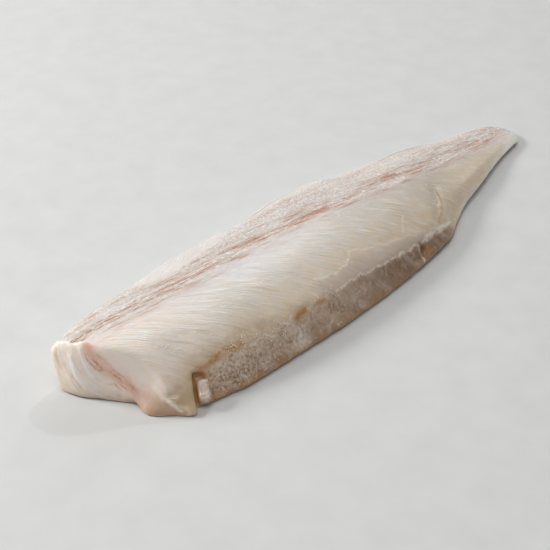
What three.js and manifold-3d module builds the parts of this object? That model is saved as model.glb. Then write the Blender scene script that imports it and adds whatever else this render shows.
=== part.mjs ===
// A skinless fish fillet, lying on the side that the skin came off, as one solid.
// Millimetres, +Z up: the head cut is at -X, the tail at +X, the back edge at +Y and the belly edge at -Y.

import * as THREE from 'three';
import { LoftGeometry } from 'three/addons/geometries/LoftGeometry.js';
import { RoundedBoxGeometry } from 'three/addons/geometries/RoundedBoxGeometry.js';
import { mergeVertices } from 'three/addons/utils/BufferGeometryUtils.js';
import Module from 'manifold-3d';

// Overall size
const LENGTH = 336;       // back corner of the head cut to the tail tip
const WIDTH = 82;         // back edge to belly edge, at the widest
const THICKNESS = 31;     // at the crown of the loin

// Outline from above: fraction of the length, fraction of half the width
const BACK_EDGE = [
  [0, 0.73], [0.09, 0.86], [0.21, 0.96], [0.32, 1], [0.50, 1.01], [0.60, 1], [0.67, 0.96], [0.76, 0.86],
  [0.85, 0.70], [0.93, 0.60], [1, 0.46],
];
const BELLY_EDGE = [
  [0, -0.72], [0.075, -0.81], [0.105, -0.80], [0.135, -0.855], [0.165, -0.915], [0.20, -0.94], [0.26, -0.97],
  [0.36, -1.01], [0.49, -1], [0.60, -0.92], [0.645, -0.85], [0.685, -0.71], [0.735, -0.56], [0.80, -0.435],
  [0.90, -0.22], [1, -0.09],
];
const CROWN_HEIGHT = [
  [0, 0.97], [0.12, 1], [0.24, 0.99], [0.46, 0.91], [0.58, 0.79], [0.69, 0.61], [0.77, 0.45],
  [0.85, 0.32], [0.93, 0.22], [1, 0.15],
];
const TIP_RADIUS = 13;    // the tail tip is rounded off over this length

// Cross-sections: fraction of the length, then for each point on the way over the top from the back
// to the belly, the fraction of the width across and the fraction of the crown height
const SECTIONS = [
  [0.06, [0.08, 0], [0, 0.55], [0.05, 0.84], [0.22, 0.99], [0.42, 0.96],
    [0.62, 0.76], [0.82, 0.37], [0.93, 0.17], [1, 0.05], [0.97, 0]],
  [0.25, [0.06, 0], [0, 0.40], [0.055, 0.75], [0.295, 0.985], [0.45, 1],
    [0.66, 0.87], [0.87, 0.52], [0.965, 0.22], [1, 0.07], [0.975, 0]],
  [0.50, [0.06, 0], [0, 0.38], [0.06, 0.70], [0.385, 0.99], [0.52, 0.99],
    [0.70, 0.84], [0.88, 0.54], [0.965, 0.25], [1, 0.08], [0.97, 0]],
  [0.71, [0.06, 0], [0, 0.40], [0.08, 0.72], [0.46, 1], [0.58, 0.97],
    [0.72, 0.84], [0.89, 0.60], [0.965, 0.38], [1, 0.20], [0.93, 0]],
  [0.81, [0.08, 0], [0, 0.44], [0.09, 0.75], [0.44, 1], [0.57, 0.98],
    [0.72, 0.90], [0.89, 0.75], [0.965, 0.58], [1, 0.38], [0.88, 0]],
  [0.94, [0.10, 0], [0, 0.50], [0.10, 0.80], [0.42, 1], [0.56, 1],
    [0.72, 0.92], [0.88, 0.80], [0.96, 0.68], [1, 0.50], [0.84, 0]],
];
const STEPS_PER_SPAN = [2, 3, 6, 3, 5, 5, 4, 2, 1];   // between neighbouring points of a cross-section
const UNDERSIDE_STEPS = 6;

// What lies at which point of a cross-section, counted from the back foot, or part of the way to the next
const BACK_EDGE_POINT = 1;
const BACK_LAYER_TOP = [1.6, 2.7];    // the layers of the back fade out between these
const SHOULDER_POINT = 2;
const LINE_POINT = 3;                 // the dark lateral line
const FLAKES_END = 5.6;
const BAND_POINT = 6;                 // the belly band starts below this one
const BAND_STEP = 0.35;               // the torn step down to it
const BAND_FACE_POINT = 7;
const BELLY_EDGE_POINT = 8;

// Muscle flakes, in chevrons that point to the head along the lateral line
const FLAKE_PITCH = 8;
const FLAKE_SLANT = 1.15; // tailward for each millimetre away from the lateral line
const FLAKE_DEPTH = 0.36; // of the crease between two flakes
const FLAKE_FULLNESS = 0.7;   // below 1, a flake is broad and its crease sharp
const FLAKES_START = 20;
const RINGS_PER_FLAKE = 3;
const CHEVRON_START = 50; // the rings of the surface turn from the head cut to the chevrons up to here
const CHEVRON_END = 200;  // and straighten again from here to the tail

// Relief of the sides
const LINE_GROOVE = { depth: 0.9, reach: 3.5 };
const BAND_RECESS = 0.7;  // the belly band lies this far below the flank
const BAND_TORN = [[0.08, 5.1], [0.05, 2.3]];   // waves of its upper edge: size, in points, and length
const BAND_CRAG = { depth: 0.5, along: [3.7, 8.3], over: [40, -25] };
const BACK_LAYERS = [[52, 126, 1.8], [132, 204, 2.6], [232, 286, 1.4]];   // from, to and standing proud
const LAYER_RISE = 26;
const LAYER_DROP = 10;
const CREASE = { from: [213, -28], to: [234, -10], width: 1.8, depth: 1.2 };   // along, across
const GROUND_FADE = 2;    // relief dies out over this height above the underside

// Head cut: slanted, with the two muscle blocks rounded apart by a seam
const CUT_SLANT = 0.42;
const CUT_LEAN_BACK = 0.03;
const CUT_LEAN_BELLY = 0.3;
const LEAN_TURN = [6, -16];   // the lean goes over from one to the other between these places across
const CUT_ROUND = 2.6;    // rounding of the cut's rim
const BACK_BLOCK = { across: 15, reach: 10, proud: 3 };
const BELLY_LOBE = { across: -17.5, reach: 8, height: 9, proud: 5.5 };
const SEAM = [   // across, height
  [14.7, 31], [12, 24], [9.5, 19.5], [6, 15], [1.7, 11], [-2.5, 7.5], [-6, 3.5], [-8, 0],
];
const SEAM_WIDTH = 3.2;
const SEAM_DEPTH = 2.6;
const SEAM_SAMPLES = 60;
const KNIFE = { reach: 60, across: 110, low: -4, high: 44, cell: 1.9 };   // the block that the cut takes away
const HEAD_RINGS = [-12, -6, -2, 0, 0.7, 1.6];   // rings of the surface just before and behind the cut

// The cleft behind the belly tip: a place on the band, with its turn from above and its slope, in radians.
// What lies in it is placed up the slope, aside towards the tip and out of the flesh.
const CLEFT = { along: 32.6, across: -26.3, height: 7.2, turn: 0.93, slope: 0.46 };
const SLIT = { size: [25, 2.2, 11], at: [-2.5, 0, 0] };
const SLIT_PIT = { size: [6, 7.5, 5], at: [5.2, -2.2, 0.2] };
const UNDER_TAB = { size: [10, 11, 10], at: [-9.5, -4.5, -2] };
const TAB = { size: [11, 5.6, 5.6], round: 1.9, at: [-1, -3.6, -1.3] };

// The torn pit near the end of the belly band
const TEAR = { along: 190, across: -37.5, height: 8, radius: 4, tall: 1.3 };

const ROOT_STEPS = 12;    // steps of the searches for a place on the head cut
const TIP_GAP = 0.2;      // the last ring stays this far from the tip

const { clamp, lerp, smoothstep } = THREE.MathUtils;
const bell = (distance, reach) => Math.exp(-((distance / reach) ** 2));

// A smooth function of the fraction of the length, through the values given for some stations
function alongLength(stations) {
  const positions = stations.map(([at]) => at);
  const values = stations.flatMap(([, ...row]) => row.flat());
  const curve = new THREE.CubicInterpolant(positions, values, values.length / positions.length);
  return (along) => curve.evaluate(clamp(along / LENGTH, positions[0], positions.at(-1)));
}

const backEdge = alongLength(BACK_EDGE);
const bellyEdge = alongLength(BELLY_EDGE);
const crownHeight = alongLength(CROWN_HEIGHT);
const sectionPoints = alongLength(SECTIONS);

// Where each point of a cross-section lies on its curve, from 0 at the back foot to 1 at the belly foot
function curvePositions() {
  const spans = STEPS_PER_SPAN.length;
  const positions = [];
  STEPS_PER_SPAN.forEach((steps, span) => {
    for (let step = 0; step < steps; step += 1) {
      positions.push((span + step / steps) / spans);
    }
  });
  return [...positions, 1];
}

const CURVE_POSITIONS = curvePositions();
const pointPosition = (point) => point / STEPS_PER_SPAN.length;

// 0 up to one point of a cross-section and 1 from another on
const between = (position, from, to) => smoothstep(position, pointPosition(from), pointPosition(to));

// The smooth cross-section at a distance from the head corner
function crossSection(along) {
  const tip = clamp((along - (LENGTH - TIP_RADIUS)) / TIP_RADIUS, 0, 1);
  const rounding = Math.sqrt(1 - tip ** 2);
  const back = backEdge(along)[0] * WIDTH / 2;
  const belly = bellyEdge(along)[0] * WIDTH / 2;
  const middle = (back + belly) / 2;
  const halfWidth = (back - belly) / 2 * rounding;
  const height = crownHeight(along)[0] * THICKNESS * Math.sqrt(rounding);
  const row = sectionPoints(along);
  const points = [];
  for (let i = 0; i < row.length; i += 2) {
    points.push(new THREE.Vector2(middle + halfWidth * (1 - 2 * row[i]), height * row[i + 1]));
  }
  return { curve: new THREE.SplineCurve(points), points };
}

const creaseLine = new THREE.Line3(new THREE.Vector3(...CREASE.from), new THREE.Vector3(...CREASE.to));

// How far a place, seen from above, is from the short crease near the tail
function creaseDistance(along, across) {
  const place = new THREE.Vector3(along, across, 0);
  return creaseLine.closestPointToPoint(place, true, new THREE.Vector3()).distanceTo(place);
}

// How far the flesh stands above the smooth cross-section at one place
function relief(along, across, position, section) {
  const line = section.points[LINE_POINT].x;
  const overFlank = between(position, SHOULDER_POINT, LINE_POINT)
    * (1 - between(position, FLAKES_END, BAND_POINT));
  const flake = (along - FLAKE_SLANT * Math.abs(line - across)) / FLAKE_PITCH;
  const crease = Math.abs(Math.sin(Math.PI * flake)) ** FLAKE_FULLNESS - 1;
  let proud = FLAKE_DEPTH * crease * overFlank * smoothstep(along, FLAKES_START, CHEVRON_START);

  proud -= LINE_GROOVE.depth * bell(across - line, LINE_GROOVE.reach);

  const torn = BAND_TORN.reduce((sum, [size, length]) => sum + size * Math.sin(along / length), BAND_POINT);
  const inBand = between(position, torn, torn + BAND_STEP)
    * (1 - between(position, BAND_FACE_POINT, BELLY_EDGE_POINT));
  const waves = BAND_CRAG.along.map((length, i) => Math.sin(along / length + position * BAND_CRAG.over[i]));
  proud += inBand * (BAND_CRAG.depth * waves[0] * waves[1] - BAND_RECESS);

  const onBack = between(position, 0, BACK_EDGE_POINT) * (1 - between(position, ...BACK_LAYER_TOP));
  for (const [from, to, height] of BACK_LAYERS) {
    const window = smoothstep(along, from, from + LAYER_RISE) * (1 - smoothstep(along, to - LAYER_DROP, to));
    proud += height * window * onBack;
  }

  return proud - CREASE.depth * bell(creaseDistance(along, across), CREASE.width);
}

// A point of the finished top surface, with the relief laid along the normal of the cross-section
function surfacePoint(along, position) {
  const section = crossSection(along);
  const base = section.curve.getPoint(position);
  const tangent = section.curve.getTangent(position);
  const outward = new THREE.Vector2(tangent.y, -tangent.x);
  const fade = smoothstep(LENGTH - along, 0, 2 * TIP_RADIUS);
  const proud = relief(along, base.x, position, section) * fade - rimRounding(along, base, outward);
  base.addScaledVector(outward, proud * smoothstep(base.y, 0, GROUND_FADE));
  return new THREE.Vector3(along, base.x, Math.max(0, base.y));
}

const seamPath = new THREE.SplineCurve(SEAM.map(([across, height]) => new THREE.Vector2(across, height)));
const seamSamples = seamPath.getPoints(SEAM_SAMPLES);

// The slanted surface of the head cut: how far along it lies at a place across and a height
function cutAlong(across, height) {
  const corner = backEdge(0)[0] * WIDTH / 2;
  const lean = lerp(CUT_LEAN_BELLY, CUT_LEAN_BACK, smoothstep(across, LEAN_TURN[1], LEAN_TURN[0]));
  let along = CUT_SLANT * (corner - across) + lean * height - CUT_ROUND;
  along -= BACK_BLOCK.proud * bell(across - BACK_BLOCK.across, BACK_BLOCK.reach);
  const overLobe = bell(across - BELLY_LOBE.across, BELLY_LOBE.reach) * bell(height, BELLY_LOBE.height);
  along -= BELLY_LOBE.proud * overLobe;
  const place = new THREE.Vector2(across, height);
  const fromSeam = Math.min(...seamSamples.map((sample) => sample.distanceTo(place)));
  return along + SEAM_DEPTH * bell(fromSeam, SEAM_WIDTH);
}

// How far the flesh rounds off inwards where it comes up to the head cut
function rimRounding(along, base, outward) {
  const radius = CUT_ROUND * smoothstep(base.y, 0, THICKNESS / 2);
  let inward = 0;
  for (let i = 0; i < ROOT_STEPS; i += 1) {
    const place = base.clone().addScaledVector(outward, -inward);
    const behind = clamp(along - cutAlong(place.x, place.y), 0, radius);
    const onArc = radius - Math.sqrt(radius ** 2 - (radius - behind) ** 2);
    inward = (inward + onArc) / 2;
  }
  return inward;
}

// Where the smooth cross-sections, followed along one line, meet the head cut
function cutPlace(position) {
  let along = 0;
  for (let i = 0; i < ROOT_STEPS; i += 1) {
    const base = crossSection(along).curve.getPoint(position);
    along = cutAlong(base.x, base.y);
  }
  return along;
}

const CUT_PLACES = CURVE_POSITIONS.map(cutPlace);
const CUT_AT_LINE = cutPlace(pointPosition(LINE_POINT));

// One ring over the top, level with the head cut at the head and chevron-shaped over the flakes
function topRing(station) {
  const level = crossSection(station);
  const line = level.points[LINE_POINT].x;
  const turned = smoothstep(station, 0, CHEVRON_START) * (1 - smoothstep(station, CHEVRON_END, LENGTH));
  const square = 1 - smoothstep(station, 0, LENGTH);
  const start = CUT_AT_LINE * (1 - station / LENGTH);
  return CURVE_POSITIONS.map((position, i) => {
    const chevron = FLAKE_SLANT * Math.abs(line - level.curve.getPoint(position).x);
    const cut = (CUT_PLACES[i] - CUT_AT_LINE) * square;
    return surfacePoint(Math.min(station + start + lerp(cut, chevron, turned), LENGTH - TIP_GAP), position);
  });
}

// The flat underside that closes a ring, from the belly foot back to the back foot
function closeUnder(top) {
  const [back, belly] = [top[0], top.at(-1)];
  const under = [];
  for (let i = 1; i < UNDERSIDE_STEPS; i += 1) {
    under.push(new THREE.Vector3().lerpVectors(belly, back, i / UNDERSIDE_STEPS));
  }
  return [...top, ...under];
}

function filletSkin() {
  const stations = Math.round(LENGTH / FLAKE_PITCH * RINGS_PER_FLAKE);
  const rings = HEAD_RINGS.map((station) => closeUnder(topRing(station)));
  for (let i = 1; i < stations; i += 1) {
    rings.push(closeUnder(topRing(LENGTH * i / stations)));
  }
  const stub = new THREE.Vector3(2 * HEAD_RINGS[0], 0, THICKNESS / 3);
  const tip = surfacePoint(LENGTH, pointPosition(LINE_POINT));
  const poleRing = (pole) => rings[0].map(() => pole);
  return new LoftGeometry([poleRing(stub), ...rings, poleRing(tip)]);
}

const wasm = await Module();
wasm.setup();

// A closed mesh as a solid that can be joined and cut, without the triangles that a pole shrinks to a line
function solidOf(geometry) {
  const bare = new THREE.BufferGeometry().copy(geometry);
  bare.deleteAttribute('normal');
  bare.deleteAttribute('uv');
  const merged = mergeVertices(bare, 1e-3);
  const corners = [...merged.index.array];
  const triangles = [];
  for (let i = 0; i < corners.length; i += 3) {
    const triangle = corners.slice(i, i + 3);
    if (new Set(triangle).size === 3) {
      triangles.push(...triangle);
    }
  }
  return new wasm.Manifold(new wasm.Mesh({
    numProp: 3,
    vertProperties: Float32Array.from(merged.attributes.position.array),
    triVerts: Uint32Array.from(triangles),
  }));
}

function geometryOf(solid) {
  const mesh = solid.getMesh();
  const geometry = new THREE.BufferGeometry();
  geometry.setAttribute('position', new THREE.BufferAttribute(mesh.vertProperties, 3));
  geometry.setIndex(new THREE.BufferAttribute(mesh.triVerts, 1));
  geometry.computeVertexNormals();
  return geometry;
}

// The block that the head cut takes away, with the cut surface as its one shaped face
function knifeBlock() {
  const { reach, across, low, high, cell } = KNIFE;
  const [cellsUp, cellsAcross] = [Math.round((high - low) / cell), Math.round(across / cell)];
  const block = new THREE.BoxGeometry(1, across, high - low, 1, cellsAcross, cellsUp);
  block.translate(0, 0, (high + low) / 2);
  const corners = block.attributes.position;
  for (let i = 0; i < corners.count; i += 1) {
    const atCut = cutAlong(corners.getY(i), corners.getZ(i));
    corners.setX(i, corners.getX(i) > 0 ? atCut : -reach);
  }
  return solidOf(block);
}

// A shape moved to its place in the cleft and turned with it
function inCleft(geometry, at) {
  geometry.translate(...at);
  geometry.rotateY(-CLEFT.slope);
  geometry.rotateZ(CLEFT.turn);
  geometry.translate(CLEFT.along, CLEFT.across, CLEFT.height);
  return solidOf(geometry);
}

// A hollow that thins out to all sides
function hollow({ size, at }) {
  const lens = new THREE.SphereGeometry(0.5, 16, 10);
  lens.scale(...size);
  return inCleft(lens, at);
}

// The scrap of flesh that hangs beside the slit
const tab = () => inCleft(new RoundedBoxGeometry(...TAB.size, 3, TAB.round), TAB.at);

function tear() {
  const pit = new THREE.SphereGeometry(TEAR.radius, 12, 8);
  pit.scale(1, 1, TEAR.tall);
  pit.translate(TEAR.along, TEAR.across, TEAR.height);
  return solidOf(pit);
}

const flesh = new THREE.MeshStandardMaterial({ color: 0xe0d6c8, roughness: 0.35, metalness: 0 });
const cuts = [knifeBlock(), ...[SLIT, SLIT_PIT, UNDER_TAB].map(hollow), tear()];
const body = cuts.reduce((left, cut) => left.subtract(cut), solidOf(filletSkin())).add(tab());
const fillet = new THREE.Mesh(geometryOf(body), flesh);
fillet.name = 'fillet';
fillet.geometry.computeBoundingBox();
const middle = fillet.geometry.boundingBox.getCenter(new THREE.Vector3());
fillet.position.set(-middle.x, -middle.y, 0);

const group = new THREE.Group();
group.add(fillet);

export default group;
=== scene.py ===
import math
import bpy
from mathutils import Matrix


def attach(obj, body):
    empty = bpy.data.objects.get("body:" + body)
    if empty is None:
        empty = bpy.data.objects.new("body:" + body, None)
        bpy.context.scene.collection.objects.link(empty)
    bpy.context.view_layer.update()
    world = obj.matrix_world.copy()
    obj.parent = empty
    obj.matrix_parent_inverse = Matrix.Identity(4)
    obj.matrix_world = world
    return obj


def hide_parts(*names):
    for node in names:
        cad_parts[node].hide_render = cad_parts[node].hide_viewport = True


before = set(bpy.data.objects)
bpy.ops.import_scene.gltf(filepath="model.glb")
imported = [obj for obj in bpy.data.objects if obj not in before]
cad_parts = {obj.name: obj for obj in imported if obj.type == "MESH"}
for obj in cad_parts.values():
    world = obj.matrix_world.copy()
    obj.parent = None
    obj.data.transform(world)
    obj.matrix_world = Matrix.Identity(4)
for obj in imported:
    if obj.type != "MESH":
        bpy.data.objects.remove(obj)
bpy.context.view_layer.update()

from types import SimpleNamespace

import bmesh
import bpy
import numpy as np
from mathutils import Vector


# The fillet: one side of a hake, cut off the bones and skinned, with a slanted cut where the head came off.
# Raw muscle in thin flakes that meet in chevrons along a red-brown lateral line, and a thin grey belly wall
# with torn lining along its upper edge. It lies on the side that the skin came off.

MM = 0.001
MERGE_GAP = 0.001             # mm, within which corners of the solid's faces are one
SKIN_CELL = 0.68              # mm, size of the mesh faces
SOFTENING = {"cleft": 3, "head corner": 36, "tail": 24, "rest": 12}  # rounds in each zone
CRISP_PLACE = (-133, -30, 6)  # mm, at the cleft, where the form is softened least
CRISP_REACH = 12              # mm around that place
SOFT_CORNER = (-138, 4)       # mm along and across, where the corner of head cut and back begins
SOFT_TAIL = 58                # mm along, where the tail begins
UNDERSIDE_TOP = 0.1           # mm, below which a point is on the flat underside
UNDERSIDE_SHARE = 0.58        # of all faces, what stays when the underside is thinned out
UNDERSIDE_WEIGHT = 1000       # how strongly the thinning keeps to the underside
CROWN_STEP = 2                # mm along, between the places where the crown is measured
CROWN_SPAN = 13               # such places that are evened out together

# Where things run, in mm: the place along the fillet, then the place across or the distance from the line
LATERAL_LINE = [
    (-167, 17), (-147, 17.5), (-120, 15), (-86, 13.5), (-54, 11), (-18, 10), (12, 8.8), (52, 5.8),
    (92, 9.3), (130, 9.6), (165, 8.5),
]
BAND_EDGE = [
    (-167, 42), (-128, 45), (-90, 47.5), (-45, 46.5), (5, 45.5), (50, 41), (97, 34), (141, 27),
    (168, 20),
]
BACK_EDGE = [
    (-167, 22), (-128, 22), (-118, 15), (-110, 7), (-94, 8), (-77, 12), (-65, 15), (-52, 21),
    (-40, 25), (60, 25), (100, 22), (168, 14),
]
FILM_EDGE = [
    (-58, -41), (-54, -37.5), (-46, -37.5), (-38, -38.5), (-29, -37), (-20.5, -32.8), (-15, -34),
    (-8, -34.8), (12, -37.5), (36, -38.3), (52, -38),
]
LINE_ORDER = 7                # of the smooth curves through such places
CLEFT = (-134.4, -27.5)       # a place on the slit behind the belly tip, along and across
CLEFT_TURN = 0.93             # its direction from above, in radians

# The strength of the torn lip of the belly wall, from 0 to 1, at places along the fillet
LIP_STRENGTH = [(-125, 0), (-110, 0.6), (-80, 0.9), (-70, 0.3), (-50, 0.3), (-38, 1), (50, 1), (60, 0)]

# The seam between the muscles on the head cut, in mm: the place across, then the height
SEAM = [(13.5, 31), (11, 24), (8.3, 19.5), (4.8, 15), (0.5, 11), (-3.7, 7.5), (-7.2, 3.5), (-9.2, 0)]

# Marks on the flesh, in mm: the places that each runs through, and how far it reaches to the sides
MARKS = {
    "stain": [                # brown, along the belly wall and in the cleft
        ([(-133, -23.7, 11), (-129, -23.3, 12.6), (-124, -24.1, 13.3), (-113, -25.4, 15.5),
          (-105, -27.7, 15.3)], 1.9),
        ([(-130.5, -22.4, 7), (-128, -23.5, 8.5)], 4.4),
        ([(-131.8, -24.5, 3.8), (-134.3, -28, 1.5)], 3.0),
        ([(-72, -32, 14), (-66, -32, 15.5)], 1.8),
        ([(-57, -33, 14.7), (-53, -33, 14.7)], 1.4),
        ([(22, -36, 8), (26, -37, 6)], 3.0),
    ],
    "pale": [                 # bright torn edges and the rim of the head cut
        ([(-153.5, -0.5, 27.5), (-151.3, -4.2, 25.4), (-150, -7.5, 22), (-148.9, -10.4, 17.9)], 1.5),
        ([(-148.9, -10.4, 17.9), (-148.4, -13.3, 14), (-148.4, -16.8, 10.9), (-148.2, -21.3, 8.2)], 1.4),
        ([(-148.2, -21.3, 8.2), (-147, -25.5, 5.3), (-145.4, -29.2, 2.8)], 0.8),
        ([(26, -20, 19), (17, -27, 16.5)], 0.45),
        ([(29, -33, 10.6), (40, -32, 9.5), (54, -31.4, 7)], 1.0),
        ([(21, -33.6, 10.8), (19, -40.8, 3)], 0.9),
    ],
    "dark": [                 # dark red lines along the back edge, and the torn pit near the belly edge
        ([(-40, 37, 20), (-12, 37, 20), (8, 38, 18)], 1.1),
        ([(74, 30, 12), (87, 31, 10.5), (108, 28, 9)], 1.0),
        ([(21.5, -33.8, 10), (23.8, -35, 7)], 1.5),
    ],
    "crease": [               # a raised line on the flank near the tail
        ([(64, -14, 14), (60, -20, 13), (52, -26, 12), (45, -30, 10.7)], 0.8),
    ],
    "fold": [                 # on the head cut
        ([(-163.2, 13.2, 26.5), (-163.4, 12.8, 24), (-163.3, 11.5, 20), (-162.9, 9.8, 15.7),
          (-162.1, 7.9, 12.3)], 1.1),
        ([(-166.4, 16.6, 22), (-166.6, 15.9, 17.5), (-166.1, 14, 11), (-164.3, 10.4, 8.4)], 1.0),
    ],
    "veil": [                 # milky film on the belly wall
        ([(-73, -36, 12), (-76, -39, 6)], 4.5),
    ],
    "frayed": [               # where torn fibres stand
        ([(-110, -26, 15), (-104, -25, 17), (-98, -30, 14), (-88, -31, 14.5), (-78, -32, 13.5)], 3.0),
        ([(-64, -31, 16), (-46, -31, 17)], 1.8),
        ([(29, -33, 10.6), (40, -32, 9.5), (54, -31.4, 7)], 1.6),
    ],
    "tinge": [                # golden flesh above the belly wall
        ([(-131, -21, 14), (-122, -22, 15.5), (-112, -24, 17), (-100, -25, 17.5), (-86, -28.5, 16.5)], 5.0),
        ([(-72, -31, 16), (-60, -32, 15.5)], 3.5),
    ],
    "scrap": [                # pale flesh that hangs in the cleft
        ([(-131, -27.3, 9.5), (-134.5, -33, 6.5)], 3.0),
    ],
    "beaded": [               # where wet beads cling
        ([(-138, -9, 23), (-134, -12, 22)], 1.6),
        ([(-131, -14.5, 20.4), (-130, -15, 20)], 1.2),
        ([(-115, -18.6, 20), (-114, -19, 20)], 1.2),
        ([(62, -9, 17), (63, -9, 17)], 1.0),
        ([(66, 24, 15.5), (68, 24, 15.5)], 1.2),
    ],
}


def make_plain(piece):
    """Turns what the modifiers of a piece make into its own mesh."""
    graph = bpy.context.evaluated_depsgraph_get()
    shown = piece.evaluated_get(graph)
    made = bpy.data.meshes.new_from_object(shown, preserve_all_data_layers=True, depsgraph=graph)
    piece.modifiers.clear()
    piece.data = made


def coordinates(mesh, what="co"):
    """Numbers of the vertices of a mesh, one row for each."""
    rows = np.zeros(len(mesh.vertices) * 3, np.float32)
    mesh.vertices.foreach_get(what, rows)
    return rows.reshape(-1, 3).astype(float)


def group_where(piece, name, chosen):
    """A vertex group of the chosen vertices."""
    group = piece.vertex_groups.new(name=name)
    group.add([int(i) for i in np.flatnonzero(chosen)], 1.0, "REPLACE")
    return group


def solid_copy():
    """A piece with the solid's faces joined to each other."""
    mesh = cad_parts["fillet"].data.copy()
    mesh.materials.clear()
    form = bmesh.new()
    form.from_mesh(mesh)
    bmesh.ops.remove_doubles(form, verts=form.verts, dist=MERGE_GAP * MM)
    form.to_mesh(mesh)
    form.free()
    piece = bpy.data.objects.new("flesh", mesh)
    bpy.context.scene.collection.objects.link(piece)
    return piece


def soften(piece):
    """Rounds off the edges of the form, by zones."""
    place = coordinates(piece.data) / MM
    crisp = np.linalg.norm(place - CRISP_PLACE, axis=1) < CRISP_REACH
    corner = (place[:, 0] < SOFT_CORNER[0]) & (place[:, 1] > SOFT_CORNER[1]) & ~crisp
    tail = place[:, 0] > SOFT_TAIL
    zones = {"cleft": crisp, "head corner": corner, "tail": tail, "rest": ~crisp & ~corner & ~tail}
    for name, chosen in zones.items():
        smooth = piece.modifiers.new(name, "SMOOTH")
        smooth.factor = 0.5
        smooth.iterations = SOFTENING[name]
        smooth.vertex_group = group_where(piece, name, chosen).name
    make_plain(piece)


def carved_flesh():
    """The solid's form in fine even faces, with the flat underside in coarser ones."""
    piece = solid_copy()
    remesh = piece.modifiers.new("even faces", "REMESH")
    remesh.mode = "VOXEL"
    remesh.voxel_size = SKIN_CELL * MM
    make_plain(piece)
    soften(piece)
    flat = coordinates(piece.data)[:, 2] < UNDERSIDE_TOP * MM
    thin = piece.modifiers.new("coarse underside", "DECIMATE")
    thin.ratio = UNDERSIDE_SHARE
    thin.vertex_group = group_where(piece, "underside", flat).name
    thin.vertex_group_factor = UNDERSIDE_WEIGHT
    make_plain(piece)
    piece.vertex_groups.clear()
    return piece


def smooth_through(places):
    """A smooth function of the place along, through the given places."""
    along, value = np.array(places, float).T
    return np.polynomial.Polynomial.fit(along, value, LINE_ORDER)


def straight_through(places, along):
    """The value at each place along, on straight runs between the given places."""
    return np.interp(along, *np.transpose(places))


def ramp(value, low, high):
    """0 up to low and 1 from high on, with a soft change between."""
    share = np.clip((value - low) / (high - low), 0, 1)
    return share * share * (3 - 2 * share)


def crown_over(along, height):
    """The height of the fillet's crown at each place along, evened out."""
    step = np.round(along / CROWN_STEP).astype(int)
    step -= step.min()
    top = np.zeros(step.max() + 1)
    np.maximum.at(top, step, height)
    padded = np.pad(top, CROWN_SPAN // 2, "edge")
    return np.convolve(padded, np.ones(CROWN_SPAN) / CROWN_SPAN, "valid")[step]


def beside(path, across, height):
    """On the head cut, the distance from a path, positive on its belly side, and the run along it."""
    best = np.full(len(across), 1e3)
    run = np.zeros(len(across))
    passed = 0.0
    for (y0, z0), (y1, z1) in zip(path, path[1:]):
        length = math.hypot(y1 - y0, z1 - z0)
        ahead = ((across - y0) * (y1 - y0) + (height - z0) * (z1 - z0)) / length
        ahead = np.clip(ahead, 0, length)
        off_y = across - y0 - ahead / length * (y1 - y0)
        off_z = height - z0 - ahead / length * (z1 - z0)
        gap = np.hypot(off_y, off_z) * np.sign((z1 - z0) * off_y - (y1 - y0) * off_z)
        nearer = np.abs(gap) < np.abs(best)
        best[nearer] = gap[nearer]
        run[nearer] = passed + ahead[nearer]
        passed += length
    return best, run


def along_marks(place, marks):
    """For each place, 1 on one of the marks, dying out at about twice its reach."""
    strength = np.zeros(len(place))
    for path, reach in marks:
        for start, stop in zip(np.array(path, float), np.array(path[1:], float)):
            ahead = np.clip((place - start) @ (stop - start) / ((stop - start) @ (stop - start)), 0, 1)
            gap = np.linalg.norm(place - start - ahead[:, None] * (stop - start), axis=1)
            strength = np.maximum(strength, np.exp(-(gap / reach) ** 2))
    return strength


def chart(piece):
    """Notes for each vertex where it lies on the fish, in mm from the lines that the flesh follows."""
    place = coordinates(piece.data) / MM
    facing = coordinates(piece.data, what="normal")
    along, across, height = place.T
    aside = across - smooth_through(LATERAL_LINE)(along)
    around = np.sign(aside) * np.hypot(aside, height - crown_over(along, height))
    under = ramp(-facing[:, 2], 0.6, 0.9) * ramp(-height, -1.5, -0.3)
    from_cleft = (along - CLEFT[0], across - CLEFT[1])
    headward = ramp(-facing[:, 0], 0.5, 0.66) * ramp(-along, 139, 143)
    seam_gap, seam_run = beside(SEAM, across, height)
    notes = {
        "along": along,
        "aside": aside,
        "around": np.where(under > 0.5, aside, around),
        "below_band": -around - smooth_through(BAND_EDGE)(along),
        "below_film": straight_through(FILM_EDGE, along) - aside,
        "past_back": around - straight_through(BACK_EDGE, along),
        "torn": straight_through(LIP_STRENGTH, along),
        "under": under,
        "past_cleft": from_cleft[0] * math.sin(CLEFT_TURN) - from_cleft[1] * math.cos(CLEFT_TURN),
        "cut": headward * ramp(across + height, -32, -27),
        "from_seam": seam_gap,
        "seam_run": seam_run,
    }
    for name, marks in MARKS.items():
        notes[name] = along_marks(place, marks)
    for name, values in notes.items():
        kept = piece.data.attributes.new(name, "FLOAT", "POINT")
        kept.data.foreach_set("value", values.astype(np.float32))


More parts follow.
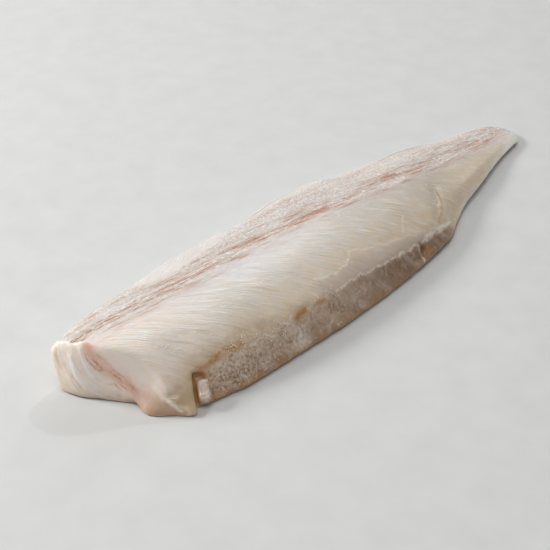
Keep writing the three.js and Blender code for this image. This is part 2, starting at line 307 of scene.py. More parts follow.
class Field:
    """A number that varies over a surface: a socket of a node tree that is reckoned with like a number."""

    def __init__(self, tree, socket):
        self.tree = tree
        self.socket = socket

    def reckon(self, operation, *others):
        return node(self.tree, "ShaderNodeMath", self, *others, operation=operation)

    def __add__(self, other):
        return self.reckon("ADD", other)

    def __sub__(self, other):
        return self.reckon("SUBTRACT", other)

    def __mul__(self, other):
        return self.reckon("MULTIPLY", other)

    def __truediv__(self, other):
        return self.reckon("DIVIDE", other)

    def __rsub__(self, other):
        return self * -1 + other

    __radd__ = __add__

    def size(self):
        return self.reckon("ABSOLUTE")

    def rise(self, low, high):
        """0 up to low and 1 from high on, with a soft change between; with low above high, the reverse."""
        limits = (low, high, 0.0, 1.0)
        return node(self.tree, "ShaderNodeMapRange", self, *limits, interpolation_type="SMOOTHSTEP")

    def bell(self, reach):
        """1 where the field is 0, dying out at about twice the reach."""
        return (self / reach).reckon("POWER", 2).reckon("MULTIPLY", -1).reckon("EXPONENT")


def node(tree, kind, *values, output=0, named=(), **settings):
    """One node of a tree, with its settings and inputs, as the field that it gives."""
    made = tree.nodes.new(kind)
    for name, value in settings.items():
        setattr(made, name, value)
    inputs = [*zip(made.inputs, values), *((made.inputs[key], value) for key, value in dict(named).items())]
    for socket, value in inputs:
        if isinstance(value, Field):
            tree.links.new(value.socket, socket)
        elif value is not None:
            socket.default_value = value
    return Field(tree, made.outputs[output])


def grain(tree, *place, detail=2.0):
    """Cloudy noise from about -0.5 to 0.5 over up to three fields, each one unit long for one cloud."""
    vector = node(tree, "ShaderNodeCombineXYZ", *place)
    inputs = {"Scale": 1.0, "Detail": detail, "Roughness": 0.55}
    return node(tree, "ShaderNodeTexNoise", vector, named=inputs) - 0.5


def fields_at(tree, position, charted):
    """The fields of a tree: the place on the fillet in mm, and what is charted there."""
    x, y, z = (node(tree, "ShaderNodeSeparateXYZ", position, output=i) / MM for i in range(3))
    return SimpleNamespace(tree=tree, x=x, y=y, z=z, **charted)


def clouds(at, cell, detail=2.0):
    """Noise in lumps of one size in mm, the same in all directions."""
    return grain(at.tree, at.x / cell, at.y / cell, at.z / cell, detail=detail)


FLAKE_SLANT = 1.9             # mm that a flake runs towards the tail for each mm away from the line
FLAKE_CURVE = 0.005           # of that run, what is lost with the square of the distance
HEAD_END = 167                # mm from the middle to the head end, where the flakes are counted from
FAR = 9.0                     # m, beyond any part of the fillet
RELIEF_SIZES = {
    "Flake pitch": 8.0, "Flake slant": FLAKE_SLANT, "Flake depth": 0.14, "Fibre depth": 0.05,
    "Line depth": 0.45, "Belly crag": 0.6, "Lip height": 0.4, "Film height": 0.18, "Cut depth": 0.45,
    "Crease height": 0.4, "Swell": 1.1, "Seed": 3.0,
}


def flake_run(at):
    """How far the flakes have run towards the tail at each place, for a slant of one."""
    return at.aside.size() - at.aside * at.aside * FLAKE_CURVE


def flake_warp(at):
    """How far the flakes wander from their even lines, in mm."""
    return clouds(at, 22) * 6


def seam_ply(at):
    """The distance from the seam of the head cut, wandering like the muscle there."""
    return at.from_seam + clouds(at, 9) * 6


def open_tree(name, sizes):
    """A geometry tree with named inputs for its sizes, and the fields that they give."""
    tree = bpy.data.node_groups.new(name, "GeometryNodeTree")
    tree.interface.new_socket("Geometry", in_out="INPUT", socket_type="NodeSocketGeometry")
    tree.interface.new_socket("Geometry", in_out="OUTPUT", socket_type="NodeSocketGeometry")
    for size_name, value in sizes.items():
        kind = "NodeSocketInt" if isinstance(value, int) else "NodeSocketFloat"
        tree.interface.new_socket(size_name, in_out="INPUT", socket_type=kind)
    tree.interface.new_socket("Material", in_out="INPUT", socket_type="NodeSocketMaterial")
    source = tree.nodes.new("NodeGroupInput")
    return tree, {socket.name: Field(tree, socket) for socket in source.outputs if socket.name}


def close_tree(tree, size, geometry):
    """Ends a tree in smooth plain faces with the material."""
    geometry = node(tree, "GeometryNodeSetShadeSmooth", geometry)
    geometry = node(tree, "GeometryNodeRealizeInstances", geometry)
    geometry = node(tree, "GeometryNodeSetMaterial", geometry, True, size["Material"])
    target = tree.nodes.new("NodeGroupOutput")
    tree.links.new(geometry.socket, target.inputs[0])
    return tree


def relief_fields(tree, position, seed):
    """What the relief depends on: the belly wall, its torn lip, the film beside it, the line, the back."""
    names = (
        "along", "aside", "around", "below_band", "below_film", "past_back", "past_cleft", "torn", "cut",
        "under", "from_seam", "seam_run", "crease", "fold", "dark",
    )
    kind = "GeometryNodeInputNamedAttribute"
    charted = {name: node(tree, kind, name, data_type="FLOAT") for name in names}
    at = fields_at(tree, position, charted)
    clear = (1 - at.cut) * (1 - at.under)
    ragged = grain(tree, at.along / 5, at.z / 6, seed, detail=5.0)
    wall = at.past_cleft.rise(0, 3) * at.along.rise(62, 40) * clear
    rough_end = at.along.rise(-45, -75)
    torn_edge = at.below_band + ragged * (5 + rough_end * 7)
    at.band = (torn_edge / (2.5 + rough_end * 4)).rise(-1, 1) * wall
    at.lip = torn_edge.bell(0.55) * wall * at.torn * grain(tree, at.along / 4, seed).rise(-0.2, 0.05)
    film_edge = at.below_film + ragged * 5
    film_span = at.along.rise(-56, -50) * at.along.rise(52, 44) * clear * (1 - at.band)
    film_gaps = grain(tree, at.along / 6, seed).rise(-0.15, 0.1)
    at.film = film_edge.rise(-0.4, 0.4) * film_span
    at.film_lip = (film_edge - 0.2).bell(0.36) * film_span * film_gaps
    at.lined = (at.around + 1 + grain(tree, at.along / 25, seed) * 5).bell(7) * (1 - at.cut)
    at.back = at.around.rise(5, 10) * (at.past_back + ragged * 8).rise(2, -2) * clear
    return at


def add_relief_patterns(at, size):
    """Adds the patterns of the relief: flakes, fibres, threads, ribs, crags and the strands of the cut."""
    tree = at.tree
    seed = size["Seed"]
    drift = at.along + HEAD_END - size["Flake slant"] * flake_run(at) + flake_warp(at)
    gap = ((drift / size["Flake pitch"]).reckon("FRACT") - 0.5).size()
    at.septum = gap.rise(0.36, 0.5) * grain(tree, at.along / 16, at.aside / 12, seed).rise(-0.1, 0.15)
    at.fibre = grain(tree, drift / 1.6, at.aside / 24, seed, detail=3.0)
    at.threads = grain(tree, (at.around + at.along * 0.06) / 1.3, at.along / 20, seed, detail=4.0)
    at.ribs = grain(tree, at.along / 1.8, at.z / 12, seed, detail=3.0)
    at.crag = clouds(at, 4.5, detail=4.0)
    at.curd = clouds(at, 1.8, detail=3.0)
    at.swell = clouds(at, 32)
    ply = seam_ply(at)
    at.strands = grain(tree, ply / 1.6, at.seam_run / 12, seed, detail=4.0)
    at.folds = grain(tree, ply / 4.5, at.seam_run / 18, seed)


def relief_height(at, size):
    """How far each place is raised, in mm; on the underside it only goes inwards."""
    muscle = at.fibre * size["Fibre depth"] * 2 - at.septum * size["Flake depth"]
    film = at.film * at.below_film.rise(14, 0) + at.film_lip * (0.3 + at.crag)
    cut = at.strands + at.swell + at.folds * at.from_seam.rise(0, -6) * 4 + at.from_seam.bell(3.2) * 3.6
    waves = at.swell + at.below_band.rise(-16, 0) * at.crag * 0.6
    raised = (1 - at.band) * (1 - at.cut) * muscle
    raised = raised + at.lined * (at.threads * size["Line depth"] * 2 - 0.25)
    raised = raised + at.back * (at.curd * 0.3 + at.threads * 0.5)
    raised = raised + at.band * size["Belly crag"] * (at.crag * 1.8 + at.ribs * 0.25 + at.curd)
    raised = raised + at.lip * size["Lip height"] * (0.6 + at.crag)
    raised = raised + size["Film height"] * film
    raised = raised + at.cut * size["Cut depth"] * cut
    raised = raised + (at.crease + at.fold) * size["Crease height"] - at.dark * 0.5
    raised = raised + waves * size["Swell"] * (1 - at.under)
    inward = at.septum * size["Flake depth"] + 0.1 + at.fibre * size["Fibre depth"]
    return raised * at.z.rise(0.0, 2.5) - at.under * inward


def relief_tree():
    """The fine relief of the flesh. It keeps for the finish where flakes, wall, lips, film and line lie."""
    tree, size = open_tree("flesh relief", RELIEF_SIZES)
    position = node(tree, "GeometryNodeInputPosition")
    at = relief_fields(tree, position, size["Seed"])
    add_relief_patterns(at, size)
    raised = relief_height(at, size)
    geometry = size["Geometry"]
    for name in ("septum", "band", "lip", "film", "film_lip", "lined"):
        inputs = (geometry, True, name, getattr(at, name))
        geometry = node(tree, "GeometryNodeStoreNamedAttribute", *inputs, data_type="FLOAT")
    facing = node(tree, "GeometryNodeInputNormal")
    push = node(tree, "ShaderNodeVectorMath", facing, named={"Scale": raised * MM}, operation="SCALE")
    geometry = node(tree, "GeometryNodeSetPosition", geometry, True, None, push)
    settled = node(tree, "ShaderNodeVectorMath", position, (-FAR, -FAR, 0.0), operation="MAXIMUM")
    geometry = node(tree, "GeometryNodeSetPosition", geometry, True, settled)
    return close_tree(tree, size, geometry)


def grow(piece, tree, values):
    """Runs a geometry tree on a piece, with its inputs set by name, and keeps the mesh that it makes."""
    modifier = piece.modifiers.new(tree.name, "NODES")
    modifier.node_group = tree
    for item in tree.interface.items_tree:
        if item.in_out == "INPUT" and item.name in values:
            modifier[item.identifier] = values[item.name]
    make_plain(piece)


def srgb(red, green, blue):
    """A colour as it is seen, 0 to 255, as the light that a surface gives back."""
    seen = np.array([red, green, blue]) / 255
    light = np.where(seen <= 0.04045, seen / 12.92, ((seen + 0.055) / 1.055) ** 2.4)
    return (*map(float, light), 1.0)


WHITE = srgb(230, 227, 223)
CREAM = srgb(236, 220, 198)
BEIGE = srgb(205, 181, 147)
BLUSH = srgb(221, 209, 201)
ROSE = srgb(206, 178, 162)
LILAC = srgb(222, 212, 213)
RUST = srgb(150, 94, 60)
AMBER = srgb(196, 146, 100)
CORAL = srgb(196, 122, 86)
SALMON = srgb(226, 160, 122)
GOLDEN = srgb(178, 148, 106)
IVORY = srgb(243, 233, 217)
OCHRE = srgb(206, 144, 76)
GREY = srgb(202, 177, 154)
DUSK = srgb(120, 89, 61)
BROWN = srgb(176, 124, 62)
PINK = srgb(254, 236, 225)
TAN = srgb(180, 144, 112)
MILK = srgb(226, 214, 205)
MAUVE = srgb(196, 176, 166)
BRIGHT = srgb(252, 250, 247)
MAROON = srgb(84, 42, 30)


def painted(tree, below, above, share):
    """One colour laid over another by a share."""
    return node(tree, "ShaderNodeMix", named={0: share, 6: below, 7: above}, data_type="RGBA", output=2)


def low_down(at, high, low, lumps):
    """0 from the high level up and 1 from the low one down, in mm, with a lumpy edge between."""
    return (at.z + at.blot * lumps).rise(high, low)


def finish_fields(tree):
    """What is charted at each place of the flesh, for its finish."""
    names = (
        "along", "aside", "around", "below_band", "past_back", "past_cleft", "cut", "under", "band", "lip",
        "lined", "septum", "film", "film_lip", "from_seam", "seam_run", "veil", "tinge", "pale", "crease",
        "fold", "scrap", "stain", "dark",
    )
    charted = {name: node(tree, "ShaderNodeAttribute", attribute_name=name, output=2) for name in names}
    return fields_at(tree, node(tree, "ShaderNodeTexCoord", output=3), charted)


def add_patterns(at):
    """Adds the patterns in the flesh: lumps, streaks along the flakes, threads, ribs and strands."""
    tree = at.tree
    at.cloud = clouds(at, 16, detail=3.0)
    at.blot = clouds(at, 6, detail=5.0)
    at.speck = clouds(at, 1.6)
    at.grit = clouds(at, 0.9, detail=1.0)
    drift = at.along - flake_run(at) * FLAKE_SLANT + flake_warp(at)
    at.streak = grain(tree, drift / 1.6, at.aside / 12, 1.0, detail=4.0)
    at.fine = grain(tree, drift / 0.9, at.aside / 8, 9.0)
    at.broad = grain(tree, drift / 7.0, at.aside / 34, 5.0)
    lean = at.around + at.along * 0.08
    at.thread = grain(tree, lean / 0.95, at.along / 15, 2.0, detail=3.0)
    at.rope = grain(tree, lean / 4.0, at.along / 30, 6.0, detail=3.0)
    at.fleck = grain(tree, lean / 0.7, at.along / 2.8, 8.0)
    at.spark = grain(tree, lean / 0.8, at.along / 1.3, 7.0, detail=1.0)
    fan = at.along + at.below_band * 0.4 + clouds(at, 14) * 22
    at.ribs = grain(tree, fan / 1.8, at.below_band / 8, 3.0, detail=4.0)
    at.strands = grain(tree, seam_ply(at) / 1.5, at.seam_run / 9, 4.0, detail=4.0)


def add_regions(at):
    """Adds the parts of the surface that have colours of their own."""
    above = 1 - at.under
    back_edge = (at.past_back + at.blot * 10 + at.speck * 5).rise(-4, 4)
    at.past = at.past_cleft.rise(-1, 6)
    at.skinned = (1 - at.band) * (1 - at.cut)
    at.pale_back = back_edge * at.around.rise(2, 6) * (1 - at.cut)
    at.flank = at.around.rise(-4, -12) * at.skinned
    at.calm = 1 - at.along.rise(30, 90) * 0.6
    at.upper = at.around.rise(-38, -14) * at.skinned * above
    at.backed = at.around.rise(2, 9) * (1 - at.cut) * (1 - at.pale_back)
    at.patchy = (at.cloud + at.broad).rise(-0.15, 0.2)
    at.orange = (at.from_seam - 2.5 + at.blot * 3).bell(3.2) * at.seam_run.rise(40, 28)
    at.reddish = (at.from_seam - 1).bell(4) * at.seam_run.rise(5, 11) * at.seam_run.rise(38, 30)
    # Painted contact shade: the lowest few mm of the belly side turn brown where they meet the floor.
    at.foot = low_down(at, 5.5, 0.5, lumps=5) * above * at.aside.rise(0, -5) * at.past
    at.tipped = at.along.rise(-116, -130) * (1 - at.past) * low_down(at, 19, 5, lumps=10) * above
    # Painted light: the steep near wall of the tail lies in shade and is laid bright here.
    at.tail_rim = at.along.rise(50, 75) * low_down(at, 7, 3, lumps=3) * at.aside.rise(0, -4) * above
    at.granular = at.along.rise(-70, -110)
    at.head = at.along.rise(-95, -140)
    at.lobed = at.cut * low_down(at, 15, 4, lumps=6) * at.from_seam.rise(0, 4)
    at.tipward = (at.y + at.blot * 6).rise(-10, -22)


def flank_tints(at):
    """The muscle below the line: cream to beige, with pale streaks along the flakes."""
    by_wall = (at.below_band + at.cloud * 24 + at.blot * 12).rise(-14, 3)
    return [
        (CREAM, (at.around * -1 + at.cloud * 30 + at.broad * 18).rise(10, 42) * (1 - at.head * 0.4)),
        (IVORY, at.flank * at.head),
        (PINK, at.flank * at.head * 0.6),
        # Painted light: the near slope of the tail, which the lamps leave darker, is laid ivory.
        (IVORY, at.along.rise(60, 95) * at.around.rise(-9, -16) * at.skinned * 0.75),
        (BEIGE, (at.along + at.cloud * 80).rise(-70, 70) * at.around.rise(4, -10) * 0.6),
        (BEIGE, (at.along + at.cloud * 40).rise(-110, -150) * at.around.rise(-28, -42) * 0.25),
        (GOLDEN, by_wall * (1 - at.band) * at.past * 0.35),
        (WHITE, at.blot.rise(0.0, 0.2) * at.flank * 0.4),
        (BRIGHT, at.streak.rise(0.03, 0.15) * at.patchy * (at.flank * 0.25 + at.upper * 0.75) * at.calm),
        (BEIGE, at.streak.rise(-0.03, -0.2) * at.flank * at.calm * 0.35),
        (BRIGHT, at.septum * at.upper * 0.3),
        (BRIGHT, at.fine.rise(0.02, 0.2) * at.flank * at.calm * 0.35),
        (TAN, at.fine.rise(-0.04, -0.25) * at.flank * at.calm * 0.18),
        (GOLDEN, at.tipped * (1 - at.cut) * 0.75),
    ]


def line_tints(at):
    """The rosy back and the red-brown threads of the lateral line, both with painted wet glints, and the
    pale strip along the back edge.
    """
    return [
        (BLUSH, at.backed),
        (PINK, at.backed * at.along.rise(0, 80) * 0.55),
        (ROSE, at.backed * (at.thread + at.rope * 0.5).rise(0.0, 0.1) * 0.7),
        # Painted wet glints: bright flecks laid into the colour of the back and the line.
        (BRIGHT, (at.backed + at.lined * 0.5) * at.spark.rise(0.05, 0.18) * 0.8),
        (TAN, at.backed * at.spark.rise(-0.05, -0.2) * 0.7),
        (AMBER, at.backed * (at.fleck + at.cloud).rise(0.1, 0.18) * 0.5),
        (LILAC, (at.around + 9 + at.rope * 8).bell(4) * (1 - at.cut) * (0.35 + at.streak * 1.5)),
        (ROSE, at.lined * (0.75 + at.rope * 1.4) * (1 - at.head * 0.3)),
        (AMBER, at.lined * (at.rope + at.speck * 0.2).rise(-0.05, 0.2) * 0.5),
        (RUST, at.lined * (at.thread + at.rope * 0.6).rise(0.03, 0.13) * 0.9),
        # More painted wet glints: small bright flecks over the line and the back.
        (BRIGHT, (at.lined + at.backed) * (at.fleck - at.rope * 0.4).rise(0.045, 0.13) * 0.85),
        (CORAL, at.lined * (at.thread + at.rope * 0.4 + at.spark * 0.3).rise(0.06, 0.18) * 0.55),
        (MILK, at.pale_back * 0.6),
        (CREAM, at.pale_back * (at.cloud + at.broad).rise(0.0, 0.4) * 0.5),
        (BRIGHT, at.pale_back * at.streak.rise(0.04, 0.16) * 0.25),
    ]


def wall_tints(at):
    """The film beside the belly wall, and the wall: grey with dusky mottling, grainy towards the head, with
    painted shade at its foot.
    """
    ribbed = at.ribs + at.speck * 0.4
    even = 1 - at.granular * 0.7
    return [
        (MILK, at.film * 0.3),
        (MAUVE, at.film * (at.below_band + at.blot * 8).rise(-12, 0) * 0.6),
        (GREY, at.band),
        # Painted shade: the wall darkens towards its foot, where it meets the floor.
        (DUSK, at.band * (at.below_band + at.cloud * 26).rise(4, 20) * 0.6),
        (TAN, at.band * (at.cloud + at.blot * 0.5).rise(0.0, 0.2) * 0.5),
        (MILK, at.band * (at.blot * 0.7 + at.ribs * 0.6 + at.speck * 0.6).rise(0.04, 0.3) * 0.6),
        (DUSK, at.band * (at.blot + at.ribs * 0.2 + at.speck * 0.5).rise(0.0, -0.35) * 0.8),
        (DUSK, at.band * at.granular * at.speck.rise(-0.02, -0.2) * 0.7),
        (BRIGHT, at.band * at.granular * at.speck.rise(0.05, 0.25) * 0.5),
        (DUSK, at.band * (at.along.rise(-60, 10) * 0.62 + 0.18)),
        (MAUVE, at.band * (at.broad + at.blot * 0.6).rise(0.0, 0.25) * 0.6),
        (DUSK, at.band * ribbed.rise(0.0, -0.25) * even * 0.35),
        (MILK, at.band * ribbed.rise(0.05, 0.3) * even * 0.3),
        (ROSE, at.band * (at.cloud - at.blot).rise(0.05, 0.3) * 0.45),
        (DUSK, at.band * at.granular * at.grit.rise(-0.04, -0.2) * 0.6),
        (MILK, at.band * at.granular * at.grit.rise(0.08, 0.25) * 0.4),
        (MILK, at.veil * at.band * (0.5 + at.ribs * 1.6 + at.speck)),
    ]


def cut_tints(at):
    """The head cut: pink to white muscle, red along its seam, a rosy lobe on the belly side, pale strands
    and folds partly painted as glints, and painted contact shade under the tip.
    """
    stranded = at.strands + at.speck * 0.3
    return [
        (PINK, at.cut),
        (TAN, at.cut * low_down(at, 9, 0, lumps=8) * 0.6),
        (ROSE, at.lobed * 0.9),
        (WHITE, at.lobed * at.strands.rise(0.02, 0.2) * 0.4),
        (RUST, at.lobed * at.strands.rise(-0.05, -0.25) * 0.25),
        (GOLDEN, at.lobed * at.tipward * 0.45),
        # Painted contact shade: a rust rim along the floor under the lobe, towards the belly tip.
        (RUST, at.lobed * low_down(at, 4, 0, lumps=5) * at.tipward * 0.75),
        (ROSE, at.cut * low_down(at, 4, 0, lumps=5) * 0.6),
        (WHITE, at.cut * at.from_seam.rise(-2, -9) * 0.3),
        (CREAM, at.cut * (at.from_seam + at.blot * 14).rise(-9, -17) * 0.7),
        (AMBER, at.cut * low_down(at, 3.5, 0, lumps=5) * 0.45),
        # Pale strands beside the seam, partly painted glints along them.
        (BRIGHT, at.cut * at.strands.rise(0.06, 0.22) * at.from_seam.rise(4, -2) * at.patchy * 0.6),
        (CREAM, at.cut * at.strands.rise(-0.04, -0.2) * at.from_seam.rise(4, -2) * 0.4),
        (SALMON, at.cut * at.orange * 0.5),
        (CORAL, at.cut * at.reddish * stranded.rise(0.0, 0.14) * 0.75),
        (BRIGHT, at.cut * at.reddish * stranded.rise(-0.08, -0.2) * 0.5),
    ]


def mark_tints(at):
    """Torn edges, folds with painted glints, scraps and stains, painted light on the tail rim, and painted
    brown contact shade at the foot of the belly side.
    """
    bare = 1 - at.scrap
    return [
        (GOLDEN, at.tinge * (1 - at.band * 0.6) * (0.35 + at.blot * 1.4)),
        (IVORY, (at.lip + at.film_lip * 0.55) * (0.6 + at.speck * 2)),
        (IVORY, at.pale * (0.75 + at.speck * 1.6)),
        (TAN, at.crease * 0.6),
        # Raised folds on the head cut, painted bright along them as glints.
        (BRIGHT, at.fold * (0.5 + at.strands * 2)),
        (MILK, at.scrap * at.past * 0.8),
        (BROWN, at.stain * (0.8 + at.blot * 2 + at.speck * 1.6) * bare),
        # In the slit the stain is laid a light ochre: partly the stain itself, partly a painted glow of
        # light through the thin flesh in the shaded slit.
        (OCHRE, at.stain * at.z.rise(10, 6) * at.along.rise(-110, -120) * bare * 0.8),
        # Painted light on the shaded near wall of the tail, with a painted amber glow along its lowest mm.
        (BRIGHT, at.tail_rim * 0.7),
        (AMBER, at.tail_rim * low_down(at, 2.2, 0.6, lumps=3) * 0.7),
        # Painted contact shade: brown at the foot of the belly side.
        (BROWN, at.foot * (1 - at.tail_rim) * 0.75),
        (MAROON, at.dark * (0.6 + at.speck)),
    ]


def underside_tints(at):
    """The flat underside, with the pale red of the line."""
    return [
        (WHITE, at.under),
        (ROSE, at.under * (at.aside + at.blot * 8).bell(7) * 0.9),
        (BRIGHT, at.under * at.streak.rise(0.0, 0.2) * 0.6),
    ]


def finest_relief(at):
    """What is too fine for the mesh: streaks, threads, the grain of the wall and the strands of the cut."""
    streaks = (at.streak * 0.7 + at.fine * 0.7) * at.skinned * (1 - at.head * 0.4)
    line = (at.lined + at.backed) * (at.thread * 2 + at.fleck + at.spark)
    wall = at.band * (at.blot * 1.5 + at.speck + at.ribs * 0.3 + at.grit * at.granular * 0.6)
    cut = at.cut * at.strands * at.from_seam.rise(6, 2) * 1.2
    return streaks + line + wall + cut + at.speck * 0.25


def flesh_finish():
    """Raw white flesh, wet and slightly translucent, with the colours of its parts laid over each other."""
    finish = bpy.data.materials.new("flesh")
    finish.use_nodes = True
    tree = finish.node_tree
    shader = tree.nodes["Principled BSDF"]
    at = finish_fields(tree)
    add_patterns(at)
    add_regions(at)
    colour = WHITE
    for tints in (flank_tints, line_tints, wall_tints, cut_tints, mark_tints, underside_tints):
        for over, share in tints(at):
            colour = painted(tree, colour, over, share)
    rough = 0.34 + at.cloud * 0.15 + at.speck * 0.2 + at.band * 0.06
    heights = {"Strength": 0.9, "Distance": 0.7 * MM, "Height": finest_relief(at)}
    bump = node(tree, "ShaderNodeBump", named=heights)
    varied = {"Base Color": colour, "Roughness": rough, "Normal": bump, "Coat Normal": bump}
    for name, field in varied.items():
        tree.links.new(field.socket, shader.inputs[name])
    even = {
        "Subsurface Weight": 0.5, "Subsurface Radius": (1.0, 0.68, 0.48), "Subsurface Scale": 6 * MM,
        "IOR": 1.38, "Coat Weight": 1.0, "Coat Roughness": 0.07, "Coat IOR": 1.33,
    }
    for name, value in even.items():
        shader.inputs[name].default_value = value
    return finish


flesh = carved_flesh()
chart(flesh)
grow(flesh, relief_tree(), {**RELIEF_SIZES, "Material": flesh_finish()})
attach(flesh, "root")
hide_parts("fillet")


# Torn fibres: shreds of the white lining that was pulled off the belly wall, left along its upper edge.
# Each is a thin tapered strand that sticks to the wet flesh with one end and lies nearly flat on it.

FIBRE_SIZES = {"Density": 0.45, "Length": 3.0, "Thickness": 0.42, "Seed": 5}
FIBRE_SIDES = 4
FIBRE_RINGS = 4
FIBRE_TIP = 0.12              # radius of the thin end, of the thickness
FIBRE_BOW = 0.7               # how far the thin end bends aside, of the length
FIBRE_LAY = ((0, 1.35, 0), (0, 1.6, 6.3))              # radians, tipped over and turned any way round
FIBRE_SCALE = ((0.7, 0.7, 0.4), (1.6, 1.3, 1.4))       # from the smallest to the largest


def scattering(name, sizes, mark):
    """A tree that starts from points on the flesh, close together where the mark is strong."""
    tree, size = open_tree(name, sizes)
    strength = node(tree, "GeometryNodeInputNamedAttribute", mark, data_type="FLOAT")
    inputs = {"Density": strength * size["Density"] / MM ** 2, "Seed": size["Seed"]}
    points = node(tree, "GeometryNodeDistributePointsOnFaces", size["Geometry"], named=inputs)
    facing = Field(tree, points.socket.node.outputs["Rotation"])
    return tree, size, points, facing


def any_between(tree, low, high, seed):
    """Three numbers that differ from point to point."""
    return node(tree, "FunctionNodeRandomValue", low, high, named={"Seed": seed}, data_type="FLOAT_VECTOR")


def set_on_points(tree, size, points, shape, rotation, scale):
    """Sets the shape on the points and ends the tree."""
    turned = {"Rotation": rotation, "Scale": scale}
    placed = node(tree, "GeometryNodeInstanceOnPoints", points, True, shape, named=turned)
    return close_tree(tree, size, placed)


def fibre_tree():
    """Thin bowed strands, turned any way and laid down on the flesh."""
    tree, size, points, facing = scattering("torn fibres", FIBRE_SIZES, "frayed")
    length = size["Length"] * MM
    thick = size["Thickness"] * MM
    counts = (FIBRE_SIDES, FIBRE_RINGS, 1)
    strand = node(tree, "GeometryNodeMeshCone", *counts, thick * FIBRE_TIP, thick * 0.5, length)
    place = node(tree, "GeometryNodeInputPosition")
    up = node(tree, "ShaderNodeSeparateXYZ", place, output=2)
    bow = node(tree, "ShaderNodeCombineXYZ", up * up / length * FIBRE_BOW)
    strand = node(tree, "GeometryNodeSetPosition", strand, True, None, bow)
    lay = any_between(tree, *FIBRE_LAY, size["Seed"])
    turn = node(tree, "FunctionNodeEulerToRotation", lay)
    turned = node(tree, "FunctionNodeRotateRotation", facing, turn, rotation_space="LOCAL")
    scale = any_between(tree, *FIBRE_SCALE, size["Seed"])
    return set_on_points(tree, size, points, strand, turned, scale)


def wet_finish(name, tint, rough, coat):
    """The finish of a wet shred or a drop."""
    finish = bpy.data.materials.new(name)
    finish.use_nodes = True
    shader = finish.node_tree.nodes["Principled BSDF"]
    shader.inputs["Base Color"].default_value = tint
    shader.inputs["Roughness"].default_value = rough
    shader.inputs["Coat Weight"].default_value = coat
    shader.inputs["Coat Roughness"].default_value = 0.05
    return finish


def scattered(name, tree, sizes, finish):
    """The piece that a scattering makes on the flesh."""
    piece = bpy.data.objects.new(name, flesh.data.copy())
    piece.data.materials.clear()
    bpy.context.scene.collection.objects.link(piece)
    grow(piece, tree, {**sizes, "Material": finish})
    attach(piece, "root")


lining = wet_finish("lining", srgb(238, 226, 208), rough=0.45, coat=0.0)
scattered("torn_fibres", fibre_tree(), FIBRE_SIZES, lining)


# Wet beads: a few drops of meltwater, up to a millimetre across. They cling to the wet flesh near the head
# cut and on the tail, flattened by their own weight.

BEAD_SIZES = {"Density": 0.7, "Radius": 0.36, "Seed": 2}
BEAD_ROUNDNESS = 2            # subdivisions of a drop
BEAD_SCALE = ((0.6, 0.6, 0.5), (1.4, 1.4, 0.9))        # from the smallest to the largest


def bead_tree():
    """Small flattened drops."""
    tree, size, points, facing = scattering("wet beads", BEAD_SIZES, "beaded")
    drop = node(tree, "GeometryNodeMeshIcoSphere", size["Radius"] * MM, BEAD_ROUNDNESS)
    scale = any_between(tree, *BEAD_SCALE, size["Seed"])
    return set_on_points(tree, size, points, drop, facing, scale)


meltwater = wet_finish("meltwater", srgb(252, 248, 240), rough=0.2, coat=1.0)
scattered("wet_beads", bead_tree(), BEAD_SIZES, meltwater)


# The stage: a plain pale floor under a low window light from behind the head end, a wide soft ceiling light,
# a small lamp and a pale sheen from behind the tail. The camera is above the head end on the belly side.

FLOOR_HALF = 2.5              # m
FLOOR_DROP = 0.1 * MM         # under the fillet, so that the two faces stay apart
ROOM_LIGHT = 0.26
CAMERA_AIM = Vector((-35.8, 12.28, 0)) * MM
CAMERA_TURN = math.radians(-48.94)
CAMERA_ELEVATION = math.radians(34)
CAMERA_DISTANCE = 690.6 * MM
CAMERA_LENS = 90


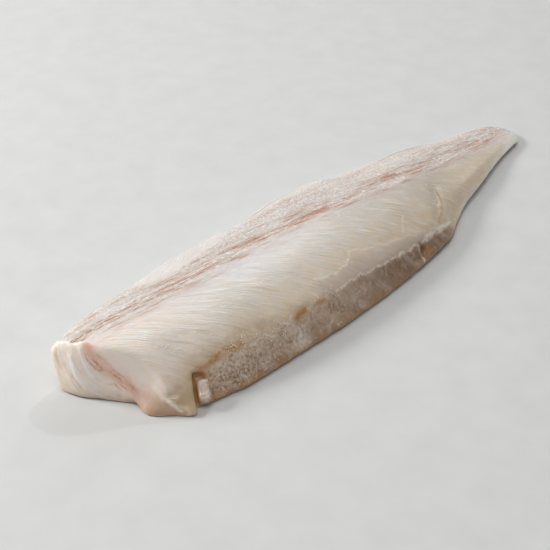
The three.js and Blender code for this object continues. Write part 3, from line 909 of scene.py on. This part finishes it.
def floor_finish():
    """A matt pale grey, slightly mottled."""
    finish = bpy.data.materials.new("floor")
    finish.use_nodes = True
    tree = finish.node_tree
    shader = tree.nodes["Principled BSDF"]
    place = node(tree, "ShaderNodeTexCoord", output=3)
    mottle = node(tree, "ShaderNodeTexNoise", place, named={"Scale": 60.0, "Detail": 4.0})
    shade = painted(tree, srgb(200, 200, 198), srgb(212, 212, 210), mottle)
    tree.links.new(shade.socket, shader.inputs["Base Color"])
    shader.inputs["Roughness"].default_value = 0.7
    return finish


corners = [(-FLOOR_HALF, -FLOOR_HALF), (FLOOR_HALF, -FLOOR_HALF)]
corners += [(FLOOR_HALF, FLOOR_HALF), (-FLOOR_HALF, FLOOR_HALF)]
floor_mesh = bpy.data.meshes.new("floor")
floor_mesh.from_pydata([(x, y, -FLOOR_DROP) for x, y in corners], [], [(0, 1, 2, 3)])
floor_mesh.materials.append(floor_finish())
floor = bpy.data.objects.new("floor", floor_mesh)
bpy.context.scene.collection.objects.link(floor)


def soft_light(name, place, size, power, tint=(1.0, 1.0, 1.0)):
    """A round area light that faces the fillet, with its place and size in metres and its power in watts."""
    lamp = bpy.data.lights.new(name, "AREA")
    lamp.shape = "DISK"
    lamp.size = size
    lamp.energy = power
    lamp.color = tint
    light = bpy.data.objects.new(name, lamp)
    light.location = place
    light.rotation_euler = (-Vector(place)).to_track_quat("-Z", "Y").to_euler()
    bpy.context.scene.collection.objects.link(light)


soft_light("window", place=(-0.72, 1.05, 0.72), size=0.42, power=16.0)
soft_light("ceiling", place=(-0.4, -0.3, 1.6), size=1.1, power=8.6)
soft_light("lamp", place=(1.25, 0.4, 1.5), size=0.1, power=4.6)
soft_light("sheen", place=(0.95, 0.85, 0.95), size=0.8, power=3.4, tint=(0.9, 0.96, 1.0))
world = bpy.data.worlds.new("room")
world.use_nodes = True
world.node_tree.nodes["Background"].inputs["Color"].default_value = (1.0, 1.0, 1.0, 1.0)
world.node_tree.nodes["Background"].inputs["Strength"].default_value = ROOM_LIGHT
bpy.context.scene.world = world
bpy.context.scene.view_settings.view_transform = "Standard"

camera = bpy.data.objects.new("camera", bpy.data.cameras.new("camera"))
camera.data.lens = CAMERA_LENS
camera.rotation_euler = (math.pi / 2 - CAMERA_ELEVATION, 0, CAMERA_TURN)
looking = camera.rotation_euler.to_matrix() @ Vector((0, 0, -1))
camera.location = CAMERA_AIM - looking * CAMERA_DISTANCE
bpy.context.scene.collection.objects.link(camera)
bpy.context.scene.camera = camera
